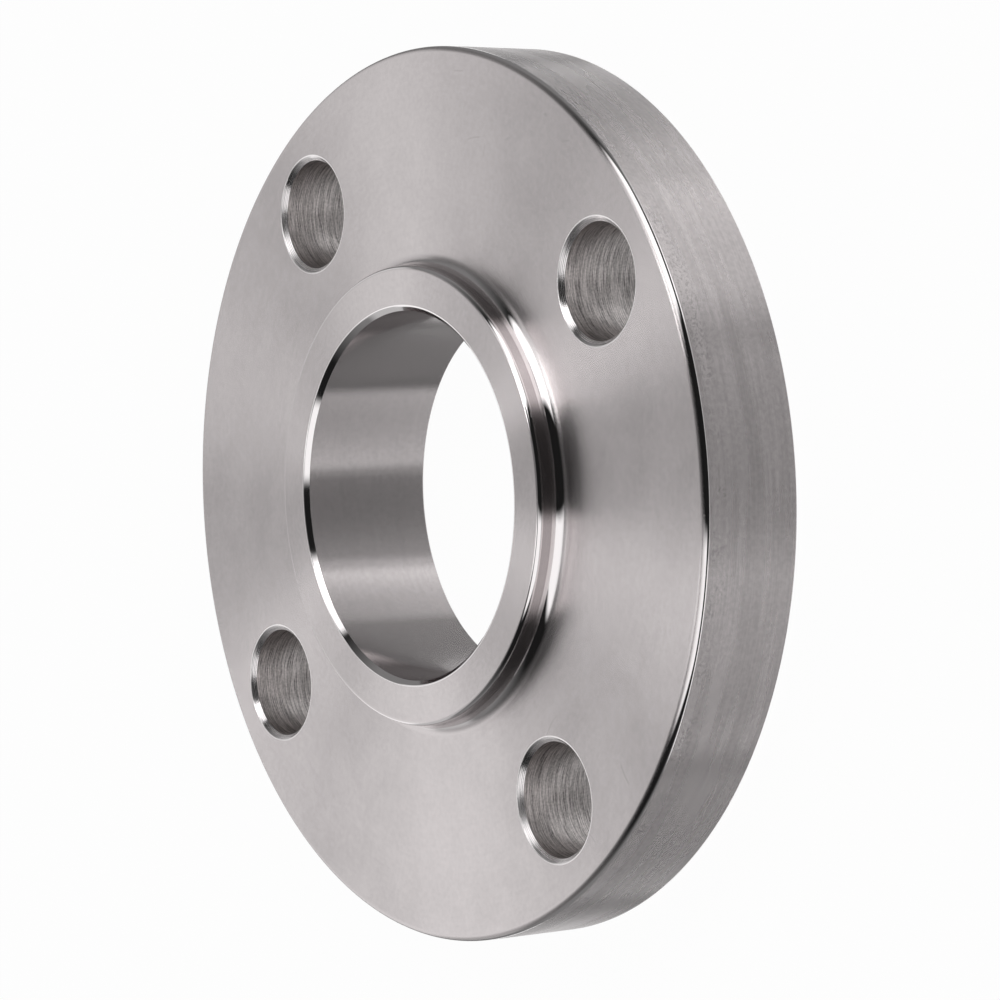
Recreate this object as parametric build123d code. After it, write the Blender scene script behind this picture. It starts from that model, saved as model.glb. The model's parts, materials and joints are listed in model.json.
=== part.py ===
from build123d import *
import os

# Slip-on pipe flange with a low hub, turned from one forging. Lengths are in mm.
# The row frame has its origin at the centre of the bore on the raised face, with +Z
# along the bore towards the hub. The flange lies on its raised face with the hub up.

# Bore and hub
bore_diameter = 62.8
hub_wall = 7.7
hub_height = 4.8

# Flange plate
flange_thickness = 18.8
hub_to_hole = 11.7
hole_to_rim = 6.1

# Raised sealing face on the back
raised_face_height = 1.6
raised_face_to_hole = 4.75

# Bolt holes
hole_diameter = 19.1
hole_count = 4
first_hole_angle = 45
hole_chamfer = 0.8

# Turned edges
rim_front_round = 1.0
hub_root_fillet = 2.0
hub_edge_chamfer = 0.8
bore_front_chamfer = 0.8
bore_back_chamfer = 0.4
rim_back_chamfer = 0.5
raised_face_chamfer = 0.3

# Radii that follow from the walls between bore, hub, holes and rim
bore_radius = bore_diameter / 2
hole_radius = hole_diameter / 2
hub_radius = bore_radius + hub_wall
bolt_circle_radius = hub_radius + hub_to_hole + hole_radius
rim_radius = bolt_circle_radius + hole_radius + hole_to_rim
raised_face_radius = bolt_circle_radius - hole_radius - raised_face_to_hole

# Heights above the raised face
plate_back = raised_face_height
plate_front = plate_back + flange_thickness
hub_top = plate_front + hub_height


def turned_body():
    """The half section with its eased corners, turned a full circle about the bore axis."""
    bore_back_corner = (bore_radius, 0)
    raised_face_corner = (raised_face_radius, 0)
    raised_face_root = (raised_face_radius, plate_back)
    rim_back_corner = (rim_radius, plate_back)
    rim_front_corner = (rim_radius, plate_front)
    hub_root_corner = (hub_radius, plate_front)
    hub_top_corner = (hub_radius, hub_top)
    bore_front_corner = (bore_radius, hub_top)
    outline = Polyline(
        bore_back_corner,
        raised_face_corner,
        raised_face_root,
        rim_back_corner,
        rim_front_corner,
        hub_root_corner,
        hub_top_corner,
        bore_front_corner,
        close=True,
    )
    section = make_face(outline)
    section = fillet(section_vertex(section, rim_front_corner), rim_front_round)
    section = fillet(section_vertex(section, hub_root_corner), hub_root_fillet)
    chamfers = [
        (hub_top_corner, hub_edge_chamfer),
        (bore_front_corner, bore_front_chamfer),
        (bore_back_corner, bore_back_chamfer),
        (raised_face_corner, raised_face_chamfer),
        (rim_back_corner, rim_back_chamfer),
    ]
    for corner, length in chamfers:
        section = chamfer(section_vertex(section, corner), length)
    return revolve(Plane.XZ * section, Axis.Z)


def section_vertex(section, corner):
    """The corner of the flat section that lies at the given radius and height."""
    return section.vertices().sort_by_distance(corner)[0]


def bolt_hole():
    """The space that one bolt hole takes, with a chamfer at each face of the plate."""
    run_out = 1.0
    mouth_radius = hole_radius + hole_chamfer
    outline = Polyline(
        (0, plate_back - run_out),
        (mouth_radius, plate_back - run_out),
        (mouth_radius, plate_back),
        (hole_radius, plate_back + hole_chamfer),
        (hole_radius, plate_front - hole_chamfer),
        (mouth_radius, plate_front),
        (mouth_radius, plate_front + run_out),
        (0, plate_front + run_out),
        close=True,
    )
    return revolve(Plane.XZ * make_face(outline), Axis.Z)


flange = turned_body()
for place in PolarLocations(bolt_circle_radius, hole_count, start_angle=first_hole_angle):
    flange -= place * bolt_hole()

os.makedirs("parts", exist_ok=True)
export_step(flange, "parts/flange.step")

print("outside diameter", round(2 * rim_radius, 2), "bolt circle", round(2 * bolt_circle_radius, 2))
print("hub diameter", round(2 * hub_radius, 2), "raised face", round(2 * raised_face_radius, 2))
print("overall length", round(hub_top, 2), "volume cm3", round(flange.volume / 1000, 1))
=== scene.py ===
import json
import math

import bmesh
import bpy
from mathutils import Matrix, Vector


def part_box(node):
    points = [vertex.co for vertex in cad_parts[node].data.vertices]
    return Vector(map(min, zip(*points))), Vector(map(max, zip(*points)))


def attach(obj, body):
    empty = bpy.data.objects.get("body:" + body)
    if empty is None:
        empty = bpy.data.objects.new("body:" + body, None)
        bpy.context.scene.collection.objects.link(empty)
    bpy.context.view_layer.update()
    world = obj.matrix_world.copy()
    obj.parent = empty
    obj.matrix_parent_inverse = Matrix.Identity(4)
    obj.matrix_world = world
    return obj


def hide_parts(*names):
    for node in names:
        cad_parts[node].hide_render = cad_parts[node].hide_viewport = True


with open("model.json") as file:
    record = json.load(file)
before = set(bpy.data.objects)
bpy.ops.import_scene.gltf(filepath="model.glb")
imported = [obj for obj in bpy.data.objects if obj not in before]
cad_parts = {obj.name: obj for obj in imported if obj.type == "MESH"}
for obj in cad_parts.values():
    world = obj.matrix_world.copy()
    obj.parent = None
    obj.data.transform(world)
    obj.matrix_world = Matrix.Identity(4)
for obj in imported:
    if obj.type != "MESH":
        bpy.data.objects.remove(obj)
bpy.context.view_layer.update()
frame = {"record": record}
scene = bpy.context.scene
print("frame loaded")

nodeRows = 8  # new nodes stand in columns of this many in the editor
nodeSpacing = (220, -240)


class Wire:  # a node's output that takes part in sums
    def __init__(self, board, socket):
        self.board = board
        self.socket = socket

    def __add__(self, other):
        return self.board.maths("ADD", self, other)

    def __sub__(self, other):
        return self.board.maths("SUBTRACT", self, other)

    def __rsub__(self, other):
        return self.board.maths("SUBTRACT", other, self)

    def __mul__(self, other):
        return self.board.maths("MULTIPLY", self, other)

    def __truediv__(self, other):
        return self.board.maths("DIVIDE", self, other)

    def __rtruediv__(self, other):
        return self.board.maths("DIVIDE", other, self)

    def __neg__(self):
        return self.board.maths("MULTIPLY", self, -1)

    __radd__ = __add__
    __rmul__ = __mul__


class Board:  # a node tree and the one way to add a node to it
    def __init__(self, tree):
        self.tree = tree
        self.tree.nodes.clear()

    def add(self, kind, settings=None, sockets=None, out=None):  # gives the named output, or the first
        node = self.tree.nodes.new(kind)
        column, row = divmod(len(self.tree.nodes), nodeRows)
        node.location = (column * nodeSpacing[0], row * nodeSpacing[1])
        for name, value in (settings or {}).items():
            if name == "items":
                while len(node.index_switch_items) < value:
                    node.index_switch_items.new()
            else:
                setattr(node, name, value)
        for name, value in (sockets or {}).items():
            self.plug(node, name, value)
        outputs = [socket for socket in node.outputs if socket.enabled and out in (None, socket.name)]
        return Wire(self, outputs[0]) if outputs else None

    def plug(self, node, name, value):
        if isinstance(name, int):
            socket = node.inputs[name]
        else:
            socket = next(s for s in node.inputs if s.enabled and name in (s.name, s.identifier))
        for item in value if isinstance(value, list) else [value]:
            if isinstance(item, Wire):
                self.tree.links.new(item.socket, socket)
            else:
                socket.default_value = item

    def maths(self, operation, *values):
        return self.add("ShaderNodeMath", {"operation": operation}, dict(enumerate(values)))

    def length(self, x, y):
        return self.maths("SQRT", x * x + y * y)

    def vector(self, x, y, z):
        return self.add("ShaderNodeCombineXYZ", None, {"X": x, "Y": y, "Z": z})


mounts = {mount["name"]: mount for mount in frame["record"]["mounts"]}
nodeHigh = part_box("flange")[1]

flangeSizes = {  # metres, with heights above the raised face
    "boreRadius": mounts["bore"]["dims"]["r_mm"] / 1000,
    "rimRadius": nodeHigh.x,
    "hubRadius": 0.0391,
    "raisedFaceRadius": 0.04605,
    "boltCircleRadius": mounts["bolt_holes"]["dims"]["pcd_mm"] / 2000,
    "holeRadius": mounts["bolt_holes"]["dims"]["hole_r_mm"] / 1000,
    "hubTop": nodeHigh.z,
    "plateFront": mounts["nut_face"]["pos_m"][2],
    "plateBack": 0.0016,
    "hubFillet": 0.0020,
    "hubRound": 0.0008,
    "boreBevel": 0.0008,
    "boreLip": 0.0004,
    "boreBackBevel": 0.0004,
    "rimRound": 0.0010,
    "rimBackBevel": 0.0005,
    "raisedFaceBevel": 0.0003,
    "holeBevel": 0.0008,
    "holeLip": 0.00045,
    "bevelRingHeight": 0.00003,
    "flatMargin": 0.00012,  # a narrow flat beside each round keeps the flats' shading true
    "groovePitch": 0.0008,
    "grooveDepth": 0.00005,
    "weld": 0.000002,  # points of two patches this close are one
}
flangeCounts = {
    "holeCount": mounts["bolt_holes"]["dims"]["count"],
    "bevelRings": 3,
    "turnSteps": 360,
    "holeSteps": 96,
}
roundSteps = {"fillet": 14, "hub": 10, "rim": 12, "lip": 4, "ring": 4}
lipReach = 0.5  # how far a lip's patch goes on past its corner, in shares of the lip's rounding
spindleRadius = 0.001  # profiles are carried round a thin ring of this radius
firstHoleAngle = math.radians(45)
sharpAngle = math.radians(24)  # edges between faces that meet more steeply stay sharp


class Lathe:  # the flange's geometry tree: profiles turned about the bore axis, plates with bolt holes
    def __init__(self, finishes):
        self.finishes = finishes
        self.tree = bpy.data.node_groups.new("turnedFlange", "GeometryNodeTree")
        self.board = Board(self.tree)
        self.tree.interface.new_socket(name="flange", in_out="OUTPUT", socket_type="NodeSocketGeometry")
        self.identifiers = {}
        for name, value in {**flangeSizes, **flangeCounts}.items():
            kind = "NodeSocketInt" if name in flangeCounts else "NodeSocketFloat"
            socket = self.tree.interface.new_socket(name=name, in_out="INPUT", socket_type=kind)
            socket.default_value = value
            self.identifiers[name] = socket.identifier
        inputs = self.tree.nodes.new("NodeGroupInput")
        self.size = {name: Wire(self.board, inputs.outputs[name]) for name in self.identifiers}
        self.patches = []

    def circle(self, steps, radius):
        return self.board.add(
            "GeometryNodeCurvePrimitiveCircle", {"mode": "RADIUS"}, {"Resolution": steps, "Radius": radius}
        )

    def pick(self, kind, values):  # gives each point the value at its own place in the list
        index = self.board.add("GeometryNodeInputIndex")
        slots = {"Index": index} | {f"Item_{place}": value for place, value in enumerate(values)}
        return self.board.add("GeometryNodeIndexSwitch", {"data_type": kind, "items": len(values)}, slots)

    def lip(self, mouth, height, rounding, way):  # a flat's eased corner, the bevel below (1) or above (-1)
        reach = rounding * lipReach
        corner = (mouth, height, rounding, roundSteps["lip"])
        return [(mouth + reach, height), corner, (mouth - reach, height - reach * way)]

    def profile(self, corners):  # a corner is a radius, a height, and how far and finely it is rounded
        radii, heights, rounds, steps = zip(*[(*corner, 0.0, 1)[:4] for corner in corners])
        places = [self.board.vector(r - spindleRadius, -1 * h, 0) for r, h in zip(radii, heights)]
        line = self.board.add("GeometryNodeMeshLine", None, {"Count": len(corners)})
        placed = self.board.add(
            "GeometryNodeSetPosition", None, {"Geometry": line, "Position": self.pick("VECTOR", places)}
        )
        curve = self.board.add("GeometryNodeMeshToCurve", None, {"Mesh": placed})
        if not any(step > 1 for step in steps):
            return curve
        return self.board.add(
            "GeometryNodeFilletCurve",
            {"mode": "POLY"},
            {"Curve": curve, "Radius": self.pick("FLOAT", rounds), "Count": self.pick("INT", steps)},
        )

    def ripple(self, start, end, waves, depth):  # a straight profile of shallow arcs that sink to the depth
        board = self.board
        steps = roundSteps["ring"]
        line = board.add("GeometryNodeMeshLine", None, {"Count": waves * steps + 1})
        index = board.add("GeometryNodeInputIndex")
        along = index / (waves * steps)
        across = board.maths("FRACT", index / steps) * 2 - 1
        dip = depth * (1 - across * across)
        run, rise = end[0] - start[0], end[1] - start[1]
        length = board.length(run, rise)
        radius = start[0] + run * along - rise / length * dip
        height = start[1] + rise * along + run / length * dip
        place = board.vector(radius - spindleRadius, -1 * height, 0)
        placed = board.add("GeometryNodeSetPosition", None, {"Geometry": line, "Position": place})
        return board.add("GeometryNodeMeshToCurve", None, {"Mesh": placed})

    def turn(self, curve, steps):  # carries a profile once round the axis
        ring = self.circle(steps, spindleRadius)
        upright = self.board.add("GeometryNodeSetCurveNormal", {"mode": "Z_UP"}, {"Curve": ring})
        return self.board.add(
            "GeometryNodeCurveToMesh", None, {"Curve": upright, "Profile Curve": curve}
        )

    def atHoles(self, shape):  # one copy of a shape at each bolt hole
        count, radius = self.size["holeCount"], self.size["boltCircleRadius"]
        ring = self.board.add("GeometryNodeMeshCircle", None, {"Vertices": count, "Radius": radius})
        turned = self.board.add(
            "GeometryNodeTransform", None, {"Geometry": ring, "Rotation": (0, 0, firstHoleAngle)}
        )
        copies = self.board.add("GeometryNodeInstanceOnPoints", None, {"Points": turned, "Instance": shape})
        return self.board.add("GeometryNodeRealizeInstances", None, {"Geometry": copies})

    def plate(self, outerRadius, innerRadius, height):  # a flat ring with the mouths of the bolt holes
        size = self.size
        mouthRadius = size["holeRadius"] + size["holeBevel"] + size["holeLip"] * lipReach
        outlines = [
            self.circle(size["turnSteps"], outerRadius),
            self.circle(size["turnSteps"], innerRadius),
            self.atHoles(self.circle(size["holeSteps"], mouthRadius)),
        ]
        outline = self.board.add("GeometryNodeJoinGeometry", None, {"Geometry": outlines})
        flat = self.board.add("GeometryNodeFillCurve", {"mode": "NGONS"}, {"Curve": outline})
        lift = self.board.vector(0, 0, height)
        return self.board.add("GeometryNodeTransform", None, {"Geometry": flat, "Translation": lift})

    def keep(self, shape, finish):  # a patch of the skin, with the number of its finish
        self.patches.append(
            self.board.add(
                "GeometryNodeStoreNamedAttribute",
                {"data_type": "INT", "domain": "FACE"},
                {"Geometry": shape, "Name": "finish", "Value": list(self.finishes).index(finish)},
            )
        )

    def turned(self, corners, finish):
        self.keep(self.turn(self.profile(corners), self.size["turnSteps"]), finish)

    def close(self):  # joins the patches into one closed skin and gives each its material
        joined = self.board.add("GeometryNodeJoinGeometry", None, {"Geometry": self.patches})
        skin = self.board.add(
            "GeometryNodeMergeByDistance", None, {"Geometry": joined, "Distance": self.size["weld"]}
        )
        skin = self.board.add("GeometryNodeRealizeInstances", None, {"Geometry": skin})
        number = self.board.add(
            "GeometryNodeInputNamedAttribute", {"data_type": "INT"}, {"Name": "finish"}, out="Attribute"
        )
        for place, material in enumerate(self.finishes.values()):
            chosen = self.board.add(
                "FunctionNodeCompare",
                {"data_type": "INT", "operation": "EQUAL"},
                {"A": number, "B": place},
            )
            skin = self.board.add(
                "GeometryNodeSetMaterial",
                None,
                {"Geometry": skin, "Selection": chosen, "Material": material},
            )
        output = self.tree.nodes.new("NodeGroupOutput")
        self.tree.links.new(skin.socket, output.inputs["flange"])


def turnHub(lathe):  # the hub with its root, edge and mouth
    size, margin = lathe.size, lathe.size["flatMargin"]
    bore, hub = size["boreRadius"], size["hubRadius"]
    front, top = size["plateFront"], size["hubTop"]
    fillet, edge = size["hubFillet"], size["hubRound"]
    wallLow = (hub, front + fillet + margin)
    wallHigh = (hub, top - edge - margin)
    flat = (hub - edge - margin, top)
    lip = lathe.lip(bore + size["boreBevel"], top, size["boreLip"], 1)
    root = [(hub + fillet + margin, front), (hub, front, fillet, roundSteps["fillet"]), wallLow]
    lathe.turned(root, "hubFillet")
    lathe.turned([wallLow, wallHigh], "hubWall")
    lathe.turned([wallHigh, (hub, top, edge, roundSteps["hub"]), flat], "hubRound")
    lathe.turned([flat, lip[0]], "turnedFace")
    lathe.turned([*lip, (bore, top - size["boreBevel"])], "polishedEdge")


def turnBore(lathe):  # the bore down to its broken edge at the raised face
    size = lathe.size
    bore, bevel = size["boreRadius"], size["boreBackBevel"]
    lathe.turned([(bore, size["hubTop"] - size["boreBevel"]), (bore, bevel)], "boreWall")
    lathe.turned([(bore, bevel), (bore + bevel, 0), (bore + bevel + size["flatMargin"], 0)], "backEdge")


def turnRaisedFace(lathe):  # the sealing face with its turned grooves
    size, margin = lathe.size, lathe.size["flatMargin"]
    raised, bevel = size["raisedFaceRadius"], size["raisedFaceBevel"]
    inner = size["boreRadius"] + size["boreBackBevel"] + margin
    outer = raised - bevel - margin
    grooves = lathe.board.maths("ROUND", (outer - inner) / size["groovePitch"])
    grooved = lathe.ripple((inner, 0), (outer, 0), grooves, size["grooveDepth"])
    lathe.keep(lathe.turn(grooved, size["turnSteps"]), "groovedFace")
    edge = [(outer, 0), (raised - bevel, 0), (raised, bevel), (raised, size["plateBack"])]
    lathe.turned(edge, "turnedFace")


def turnPlate(lathe):  # the rim with its edges, and the two flats that the bolt holes go through
    size, margin = lathe.size, lathe.size["flatMargin"]
    rim, hub, raised = size["rimRadius"], size["hubRadius"], size["raisedFaceRadius"]
    front, back = size["plateFront"], size["plateBack"]
    edge, bevel = size["rimRound"], size["rimBackBevel"]
    flatRadius = rim - edge - margin
    wallHigh = (rim, front - edge - margin)
    wallLow = (rim, back + bevel)
    lathe.turned([(flatRadius, front), (rim, front, edge, roundSteps["rim"]), wallHigh], "rimRound")
    lathe.turned([wallHigh, wallLow], "rimWall")
    lathe.turned([wallLow, (rim - bevel, back)], "backEdge")
    lathe.keep(lathe.plate(flatRadius, hub + size["hubFillet"] + margin, front), "turnedFace")
    lathe.keep(lathe.plate(rim - bevel, raised, back), "turnedFace")


def drillHoles(lathe):  # a drilled wall between two ringed bevels, each with a lip at the plate
    size = lathe.size
    radius, bevel, lip = size["holeRadius"], size["holeBevel"], size["holeLip"]
    front, back = size["plateFront"], size["plateBack"]
    rings, ridge = size["bevelRings"], -size["bevelRingHeight"]
    wallHigh = (radius, front - bevel)
    wallLow = (radius, back + bevel)
    frontLip = lathe.lip(radius + bevel, front, lip, 1)
    backLip = lathe.lip(radius + bevel, back, lip, -1)[::-1]
    sections = [
        (lathe.profile(frontLip), "holeBevel"),
        (lathe.ripple(frontLip[-1], wallHigh, rings, ridge), "holeBevel"),
        (lathe.profile([wallHigh, wallLow]), "drilledWall"),
        (lathe.ripple(wallLow, backLip[0], rings, ridge), "holeBevel"),
        (lathe.profile(backLip), "holeBevel"),
    ]
    for profile, finish in sections:
        wall = lathe.turn(profile, size["holeSteps"])
        lathe.keep(lathe.atHoles(wall), finish)


def plainMesh(lathe):  # the tree's result as a mesh of its own
    carrier = bpy.data.objects.new("flangeLathe", bpy.data.meshes.new("flangeLathe"))
    scene.collection.objects.link(carrier)
    modifier = carrier.modifiers.new("lathe", "NODES")
    modifier.node_group = lathe.tree
    for name, value in {**flangeSizes, **flangeCounts}.items():
        modifier[lathe.identifiers[name]] = value
    depsgraph = bpy.context.evaluated_depsgraph_get()
    mesh = bpy.data.meshes.new_from_object(carrier.evaluated_get(depsgraph))
    bpy.data.objects.remove(carrier)
    return mesh


def buildFlange(finishes):
    lathe = Lathe(finishes)
    turnHub(lathe)
    turnBore(lathe)
    turnRaisedFace(lathe)
    turnPlate(lathe)
    drillHoles(lathe)
    lathe.close()
    mesh = plainMesh(lathe)

    skin = bmesh.new()
    skin.from_mesh(mesh)
    bmesh.ops.recalc_face_normals(skin, faces=skin.faces)
    openEdges = sum(1 for edge in skin.edges if not edge.is_manifold)
    skin.to_mesh(mesh)
    skin.free()
    mesh.shade_smooth()
    mesh.set_sharp_from_angle(angle=sharpAngle)
    mesh.calc_loop_triangles()
    print("flange skin:", len(mesh.loop_triangles), "triangles,", openEdges, "open edges")
    piece = bpy.data.objects.new("turned_flange", mesh)
    scene.collection.objects.link(piece)
    return piece


steel = {
    "colour": (0.672, 0.630, 0.632),
    "polishedColour": (0.94, 0.903, 0.905),
    "dullColour": (0.366, 0.343, 0.344),
    "hubWallColour": (0.59, 0.553, 0.555),
    "holeColour": (0.515, 0.486, 0.48),
    "glintTurn": 0.25,  # in full turns: glints spread across the turning lines
    "grain": (1300, 2),  # scale and detail of the noise
    "grainFade": (0.3, 0.7),
    "markFade": (0.35, 0.65),
    "pits": (1500, 1),
    "pitFade": (0.70, 0.78),  # only the noise's peaks are pits
    "pitDepth": 0.000002,
    "pittedLines": 0.3,  # how deep the lines between pits are, in shares of the pits
    "lineDepth": 0.000001,
}


class Finish:  # a steel material and the marks that its finish is made of
    def __init__(self, name):
        self.material = bpy.data.materials.new(name)
        self.material.use_nodes = True
        self.board = Board(self.material.node_tree)
        self.place = self.board.add("ShaderNodeTexCoord", out="Object")
        split = self.board.add("ShaderNodeSeparateXYZ", None, {"Vector": self.place}).socket.node
        self.x, self.y, self.z = (Wire(self.board, split.outputs[axis]) for axis in "XYZ")
        self.fromAxis = (self.x, self.y)

    def centreOnHoles(self):  # lines then run round the axis of the nearest bolt hole
        radius = flangeSizes["boltCircleRadius"]
        centre = (radius * math.cos(firstHoleAngle), radius * math.sin(firstHoleAngle))
        sides = [self.board.maths("ABSOLUTE", side) for side in (self.x, self.y)]
        self.fromAxis = [side - middle for side, middle in zip(sides, centre)]

    def noise(self, place, scale, detail, roughness=0.5):
        return self.board.add(
            "ShaderNodeTexNoise",
            {"noise_dimensions": "3D"},
            {"Vector": place, "Scale": scale, "Detail": detail, "Roughness": roughness},
        )

    def lines(self, turns, fineness, detail, tilt=0.0, roughness=0.5):  # noise drawn out round the axis
        x, y = self.fromAxis
        radius = self.board.length(x, y)
        across = (radius + self.z + x * tilt) * fineness
        drawnOut = self.board.vector(x / radius * turns, y / radius * turns, across)
        return self.noise(drawnOut, scale=1, detail=detail, roughness=roughness)

    def fade(self, value, start, end):  # 0 before the start and 1 past the end
        return self.board.add(
            "ShaderNodeMapRange",
            {"interpolation_type": "SMOOTHSTEP"},
            {"Value": value, "From Min": start, "From Max": end, "To Min": 0.0, "To Max": 1.0},
        )

    def grain(self):
        return self.fade(self.noise(self.place, *steel["grain"]), *steel["grainFade"])

    def pits(self):
        return self.fade(self.noise(self.place, *steel["pits"]), *steel["pitFade"])

    def scratch(self, middle, angle, length, width, bend):  # 1 along one mark, fading to its ends and sides
        board = self.board
        turn = math.radians(angle)
        x, y = self.x - middle[0], self.y - middle[1]
        along = x * math.cos(turn) + y * math.sin(turn)
        across = y * math.cos(turn) - x * math.sin(turn) - along * along * bend
        ends = self.fade(board.maths("ABSOLUTE", along), length / 2, length / 4)
        return self.fade(board.maths("ABSOLUTE", across), width, width / 3) * ends

    def weigh(self, marks, shares):
        return sum(marks[name] * share for name, share in shares.items())

    def blend(self, factor, first, second):
        colours = {"Factor_Float": factor, "A_Color": (*first, 1), "B_Color": (*second, 1)}
        return self.board.add("ShaderNodeMix", {"data_type": "RGBA"}, colours)

    def tint(self, amount, factor, colour):  # from lighter to darker than the colour as the factor grows
        light, dark = [[channel * (1 + side * amount / 2) for channel in colour] for side in (1, -1)]
        return self.blend(factor, light, dark)

    def finish(self, colour, roughness, height, depth, anisotropy):
        board = self.board
        bump = board.add("ShaderNodeBump", None, {"Height": height, "Distance": depth, "Strength": 1.0})
        sockets = {
            "Base Color": colour,
            "Metallic": 1.0,
            "Roughness": roughness,
            "Anisotropic": anisotropy,
            "Anisotropic Rotation": steel["glintTurn"],
            "Normal": bump,
        }
        shader = board.add("ShaderNodeBsdfPrincipled", None, sockets)
        board.add("ShaderNodeOutputMaterial", None, {"Surface": shader})
        return self.material


# Marks drawn out round an axis are given as how much they vary round it, how finely they lie across it,
# and their detail, tilt and roughness. Marks that are even all over have scale, detail and roughness.
# A tint is how far the marks lighten and darken the steel.
turnedFaceLook = {
    "lines": (12, 1600, 2),
    "cloud": (70, 4, 0.6),
    "cloudFade": (0.3, 0.7),
    "cloudDulling": 0.02,
    "shares": {"cloud": 0.3, "grain": 0.3, "lines": 0.4, "scratches": 1.6},
    "tint": 0.15,
    "roughness": 0.235,
    "depth": 0.0000003,
    "anisotropy": 1.0,
}
faceScratches = [  # places in metres, angle in degrees, length, width, and how strongly it bends
    ((0.0721, 0.0002), 95, 0.0030, 0.00016, 0),
    ((0.0616, -0.0058), 102, 0.0046, 0.00015, 30),
    ((0.0597, -0.0089), 175, 0.0030, 0.00012, 0),
    ((0.0624, -0.0153), 120, 0.0014, 0.00016, 0),
    ((0.0638, -0.0315), 100, 0.0024, 0.00014, 0),
    ((0.0674, -0.0255), 60, 0.0009, 0.00030, 0),
    ((-0.0338, -0.0608), 225, 0.0042, 0.00022, 60),
    ((-0.0307, -0.0402), 150, 0.0060, 0.00012, 40),
    ((-0.0461, -0.0539), 60, 0.0020, 0.00012, 0),
]


def turnedFaceSteel():
    values = turnedFaceLook
    look = Finish("turned_face_steel")
    lines = look.lines(*values["lines"])
    cloud = look.fade(look.noise(look.place, *values["cloud"]), *values["cloudFade"])
    scratches = sum(look.scratch(*scratch) for scratch in faceScratches)
    marks = {"cloud": cloud, "grain": look.grain(), "lines": lines, "scratches": scratches}
    colour = look.tint(values["tint"], look.weigh(marks, values["shares"]), steel["colour"])
    roughness = values["roughness"] + cloud * values["cloudDulling"]
    return look.finish(colour, roughness, lines, values["depth"], values["anisotropy"])


rimWallLook = {
    "streaks": (2.5, 420, 3),
    "lines": (5, 2400, 3),
    "cloud": (8, 150, 4, 0.0, 0.6),
    "patches": (12, 150, 2),
    "patchFade": (0.4, 0.6),
    "chatter": (2000, 1),  # the mottled marks beside the front edge
    "chatterFade": (0.50, 0.62),
    "chatterStart": (0.0150, 0.0168),  # heights between which it comes up from below
    "chatterEnd": (0.0196, 0.0184),  # and from above
    "shares": {"streaks": 0.3, "lines": 0.2, "cloud": 0.2, "grain": 0.3, "chatter": 0.6},
    "heights": {"lines": 0.5, "chatter": -0.5},
    "tint": 0.36,
    "roughness": 0.26,
    "streakDulling": 0.02,
    "depth": 0.000001,
    "anisotropy": 0.95,
}


def rimWallSteel():
    values = rimWallLook
    look = Finish("rim_wall_steel")
    streaks = look.fade(look.lines(*values["streaks"]), *steel["markFade"])
    patches = look.fade(look.lines(*values["patches"]), *values["patchFade"])
    chatter = look.fade(look.noise(look.place, *values["chatter"]), *values["chatterFade"]) * patches
    band = look.fade(look.z, *values["chatterStart"]) * look.fade(look.z, *values["chatterEnd"])
    marks = {
        "streaks": streaks,
        "lines": look.fade(look.lines(*values["lines"]), *steel["markFade"]),
        "cloud": look.lines(*values["cloud"]),
        "grain": look.grain(),
        "chatter": chatter * band,
    }
    colour = look.tint(values["tint"], look.weigh(marks, values["shares"]), steel["colour"])
    roughness = values["roughness"] + streaks * values["streakDulling"]
    height = look.weigh(marks, values["heights"])
    return look.finish(colour, roughness, height, values["depth"], values["anisotropy"])


boreWallLook = {
    "streaks": (1.2, 420, 3),
    "lines": (2.5, 2600, 3),
    "shares": {"streaks": 0.35, "lines": 0.35, "grain": 0.3},
    "tint": 0.18,
    "roughness": 0.18,
    "depth": 0.0000004,
    "anisotropy": 0.9,
}


def boreWallSteel():
    values = boreWallLook
    look = Finish("bore_wall_steel")
    lines = look.lines(*values["lines"])
    marks = {"streaks": look.lines(*values["streaks"]), "lines": lines, "grain": look.grain()}
    colour = look.tint(values["tint"], look.weigh(marks, values["shares"]), steel["colour"])
    return look.finish(colour, values["roughness"], lines, values["depth"], values["anisotropy"])


drilledWallLook = {
    "rings": (1.3, 5200, 1, 0.03),
    "crossing": (2.2, 5600, 1, -0.14),
    "bands": (0.5, 700, 2, 0.05),
    "grain": (2600, 2),
    "scoreFade": (0.42, 0.58),
    "cutFade": (0.48, 0.60),
    "shares": {"scores": 0.35, "cuts": 0.3, "bands": 0.1, "grain": 0.25},
    "heights": {"rings": 1.0, "crossing": 0.5},
    "tint": 1.35,
    "roughness": 0.36,
    "cutDulling": 0.05,
    "depth": 0.000004,
    "anisotropy": 0.7,
}


def drilledWallSteel():
    values = drilledWallLook
    look = Finish("drilled_wall_steel")
    look.centreOnHoles()
    rings = look.lines(*values["rings"])
    crossing = look.lines(*values["crossing"])
    cuts = look.fade(crossing, *values["cutFade"])
    marks = {
        "rings": rings,
        "crossing": crossing,
        "scores": look.fade(rings, *values["scoreFade"]),
        "cuts": cuts,
        "bands": look.fade(look.lines(*values["bands"]), *steel["markFade"]),
        "grain": look.fade(look.noise(look.place, *values["grain"]), *steel["grainFade"]),
    }
    colour = look.tint(values["tint"], look.weigh(marks, values["shares"]), steel["holeColour"])
    roughness = values["roughness"] + cuts * values["cutDulling"]
    height = look.weigh(marks, values["heights"])
    return look.finish(colour, roughness, height, values["depth"], values["anisotropy"])


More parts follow.
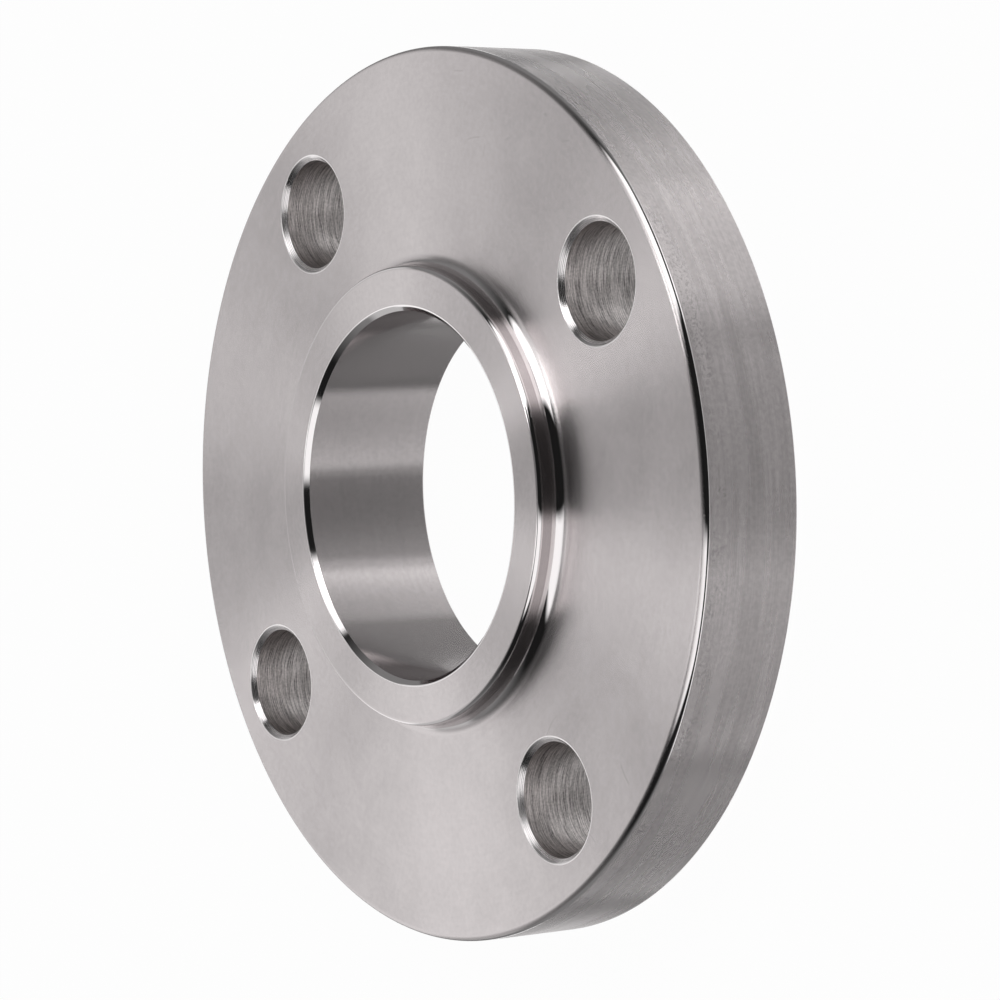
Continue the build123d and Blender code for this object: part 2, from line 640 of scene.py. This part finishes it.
fineLooks = {  # finishes that have nothing but fine lines, and pits where they are polished
    "polishedEdge": {
        "name": "polished_edge_steel",
        "colour": "polishedColour",
        "lines": (6, 3000, 2),
        "tint": 0.05,
        "roughness": 0.055,
        "dulling": 0.02,
        "pitted": True,
    },
    "hubWall": {
        "name": "hub_wall_steel",
        "colour": "hubWallColour",
        "lines": (3, 2200, 3),
        "tint": 0.12,
        "roughness": 0.10,
        "dulling": 0.04,
        "anisotropy": 0.9,
        "pitted": True,
    },
    "holeBevel": {
        "name": "hole_bevel_steel",
        "colour": "polishedColour",
        "lines": (2, 2600, 2),
        "tint": 0.12,
        "roughness": 0.16,
        "dulling": 0.04,
        "anisotropy": 1.0,
        "roundHoles": True,
    },
    "groovedFace": {
        "name": "grooved_face_steel",
        "colour": "colour",
        "lines": (3, 2500, 3),
        "tint": 0.08,
        "roughness": turnedFaceLook["roughness"],
        "anisotropy": turnedFaceLook["anisotropy"],
    },
    "backEdge": {  # the broken edges at the back, left dull
        "name": "back_edge_steel",
        "colour": "dullColour",
        "lines": (6, 2600, 2),
        "tint": 0.2,
        "roughness": 0.42,
    },
}


def fineSteel(piece):
    values = fineLooks[piece]
    look = Finish(values["name"])
    if "roundHoles" in values:
        look.centreOnHoles()
    lines = look.lines(*values["lines"])
    colour = look.tint(values["tint"], lines, steel[values["colour"]])
    roughness = values["roughness"]
    if "dulling" in values:
        roughness = roughness + lines * values["dulling"]
    height, depth = lines, steel["lineDepth"]
    if "pitted" in values:
        height, depth = lines * steel["pittedLines"] - look.pits(), steel["pitDepth"]
    return look.finish(colour, roughness, height, depth, values.get("anisotropy", 0.0))


hubRadius, rimRadius = flangeSizes["hubRadius"], flangeSizes["rimRadius"]
roundFades = {  # radii where a round is still polished, and where it is dulled like the faces
    "hub_fillet_steel": (hubRadius + 0.0005, hubRadius + 0.0012),
    "hub_round_steel": (hubRadius - 0.00045, hubRadius - 0.00065),
    "rim_round_steel": (rimRadius - 0.00005, rimRadius - 0.0005),
}


def roundSteel(name):
    look = Finish(name)
    dullness = look.fade(look.board.length(look.x, look.y), *roundFades[name])
    colour = look.blend(dullness, steel["polishedColour"], steel["colour"])
    polished = fineLooks["polishedEdge"]["roughness"]
    roughness = polished + dullness * (turnedFaceLook["roughness"] - polished)
    return look.finish(colour, roughness, -look.pits(), steel["pitDepth"], turnedFaceLook["anisotropy"])


finishes = {
    "turnedFace": turnedFaceSteel(),
    "polishedEdge": fineSteel("polishedEdge"),
    "hubFillet": roundSteel("hub_fillet_steel"),
    "hubRound": roundSteel("hub_round_steel"),
    "rimRound": roundSteel("rim_round_steel"),
    "hubWall": fineSteel("hubWall"),
    "rimWall": rimWallSteel(),
    "boreWall": boreWallSteel(),
    "drilledWall": drilledWallSteel(),
    "holeBevel": fineSteel("holeBevel"),
    "groovedFace": fineSteel("groovedFace"),
    "backEdge": fineSteel("backEdge"),
}
print("finishes made")

flange = buildFlange(finishes)
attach(flange, "root")
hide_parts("flange")


cameraSetup = {
    "aim": Vector((0.0001, -0.00716, 0.01037)),
    "azimuth": 12.26,  # degrees, from -Y towards +X
    "elevation": 34.98,
    "roll": -92.67,  # the flange is shown standing on its rim
    "distance": 0.633,
    "lens": 133.83,
    "sensorWidth": 36,
    "clipStart": 0.01,
}


def cameraAxes():  # right, up and back of the camera
    azimuth, elevation = math.radians(cameraSetup["azimuth"]), math.radians(cameraSetup["elevation"])
    level = math.cos(elevation)
    back = Vector((math.sin(azimuth) * level, -math.cos(azimuth) * level, math.sin(elevation)))
    right = Vector((0, 0, 1)).cross(back).normalized()
    upright = Matrix((right, back.cross(right), back)).transposed()
    return upright @ Matrix.Rotation(math.radians(cameraSetup["roll"]), 3, "Z")


def placeCamera():
    axes = cameraAxes()
    data = bpy.data.cameras.new("studioCamera")
    data.lens = cameraSetup["lens"]
    data.sensor_width = cameraSetup["sensorWidth"]
    data.clip_start = cameraSetup["clipStart"]
    camera = bpy.data.objects.new("studioCamera", data)
    place = cameraSetup["aim"] + axes.col[2] * cameraSetup["distance"]
    camera.matrix_world = Matrix.Translation(place) @ axes.to_4x4()
    scene.collection.objects.link(camera)
    scene.camera = camera


def softbox(azimuth, elevation, roll, half, fade, brightness):
    return {
        "azimuth": azimuth,  # degrees to the camera's right, seen from the flange
        "elevation": elevation,
        "roll": roll,
        "half": half,  # half width and half height in degrees
        "fade": fade,  # how softly the edge ends
        "brightness": brightness,
    }


softboxes = {
    "upperStrip": softbox(-62, 25, 27, (29, 10), 0.05, 0.8),
    "upperStripEnd": softbox(-74, 12, 8, (6, 5), 0.05, 3.2),
    "upperBox": softbox(-17, 53, 32, (32, 20), 0.15, 1.3),
    "lowerStrip": softbox(-77, -11, -4, (16, 5), 0.1, 1.25),
    "lowerBox": softbox(-3, -30, -3, (39, 19), 0.15, 0.98),
    "leftFill": softbox(-85, 0, 0, (35, 20), 0.5, 0.14),
    "leftBox": softbox(-130, -2, 25, (24, 27), 0.1, 0.47),
    "leftLowBox": softbox(-125, -28, 32, (24, 18), 0.15, 0.3),
    "rightStrip": softbox(78, 13, -2, (8, 24), 0.05, 0.46),
    "rightHighStrip": softbox(99, 46, 21, (18, 6), 0.15, 1.35),
    "rightLowStrip": softbox(83, -31, 40, (5, 23), 0.15, 1.0),
    "backBox": softbox(141, 3, -5, (54, 32), 0.05, 0.88),
    "backHighStrip": softbox(153, 30, -32, (18, 9), 0.05, 3.4),
    "backLowStrip": softbox(146, -25, 14, (17, 11), 0.05, 2.6),
}
studio = {
    "nearShade": 0.01,  # the room's own light from the camera's side
    "farShade": 0.19,  # and from the far side
    "shadeReach": 0.25,  # the cosine, on each side of the middle, at which one shade has become the other
    "grazingCosine": 0.02,  # a softbox ends where it would be seen edge-on
    "floorGlow": 0.97,  # the share of plain white in the floor's look to the camera
    "floorColour": (0.9, 0.9, 0.9, 1),
    "floorHalf": 6.0,
    "white": (1, 1, 1, 1),
}


def softboxAxes(box):  # outward, across and up of a softbox, in world directions
    azimuth, elevation = math.radians(box["azimuth"]), math.radians(box["elevation"])
    level = math.cos(elevation)
    outward = Vector((level * math.sin(azimuth), math.sin(elevation), level * math.cos(azimuth)))
    across = Vector((0, 1, 0)).cross(outward).normalized()
    turn = Matrix.Rotation(math.radians(box["roll"]), 3, outward)
    up = outward.cross(across)
    return [cameraAxes() @ side for side in (outward, turn @ across, turn @ up)]


def along(board, direction, side):
    sockets = {0: direction, 1: tuple(side)}
    return board.add("ShaderNodeVectorMath", {"operation": "DOT_PRODUCT"}, sockets, out="Value")


def softboxLight(board, direction, box):
    outward, across, up = softboxAxes(box)
    depth = along(board, direction, outward)
    light = board.maths("GREATER_THAN", depth, studio["grazingCosine"]) * box["brightness"]
    for side, half in zip((across, up), box["half"]):
        reach = math.tan(math.radians(half))
        offset = board.maths("ABSOLUTE", along(board, direction, side) / depth)
        inside = {
            "Value": offset,
            "From Min": reach - box["fade"] / 2,
            "From Max": reach + box["fade"] / 2,
            "To Min": 1.0,
            "To Max": 0.0,
        }
        light = light * board.add("ShaderNodeMapRange", {"interpolation_type": "SMOOTHSTEP"}, inside)
    return light


def buildWorld():  # a dim room with the softboxes in it, white to the camera
    world = bpy.data.worlds.new("studioWorld")
    world.use_nodes = True
    scene.world = world
    board = Board(world.node_tree)
    direction = board.add("ShaderNodeTexCoord", out="Generated")
    room = {
        "Value": along(board, direction, cameraAxes().col[2]),
        "From Min": studio["shadeReach"],
        "From Max": -studio["shadeReach"],
        "To Min": studio["nearShade"],
        "To Max": studio["farShade"],
    }
    shade = board.add("ShaderNodeMapRange", None, room)
    for box in softboxes.values():
        shade = shade + softboxLight(board, direction, box)
    seen = board.add("ShaderNodeLightPath", out="Is Camera Ray")
    strength = shade + (1 - shade) * seen
    background = board.add("ShaderNodeBackground", None, {"Color": studio["white"], "Strength": strength})
    board.add("ShaderNodeOutputWorld", None, {"Surface": background})


def buildFloor():
    half = studio["floorHalf"]
    corners = [(-half, -half, 0), (half, -half, 0), (half, half, 0), (-half, half, 0)]
    mesh = bpy.data.meshes.new("studioFloor")
    mesh.from_pydata(corners, [], [(0, 1, 2, 3)])
    material = bpy.data.materials.new("pale_floor")
    material.use_nodes = True
    board = Board(material.node_tree)
    paint = board.add("ShaderNodeBsdfDiffuse", None, {"Color": studio["floorColour"]})
    white = board.add("ShaderNodeEmission", None, {"Color": studio["white"], "Strength": 1.0})
    seen = board.add("ShaderNodeLightPath", out="Is Camera Ray")
    surface = board.add("ShaderNodeMixShader", None, {0: seen * studio["floorGlow"], 1: paint, 2: white})
    board.add("ShaderNodeOutputMaterial", None, {"Surface": surface})
    mesh.materials.append(material)
    floor = bpy.data.objects.new("studioFloor", mesh)
    floor.visible_glossy = False  # the steel mirrors the softboxes and not the floor
    floor.visible_shadow = False
    scene.collection.objects.link(floor)


placeCamera()
buildWorld()
buildFloor()
scene.view_settings.view_transform = "Standard"
print("studio ready")
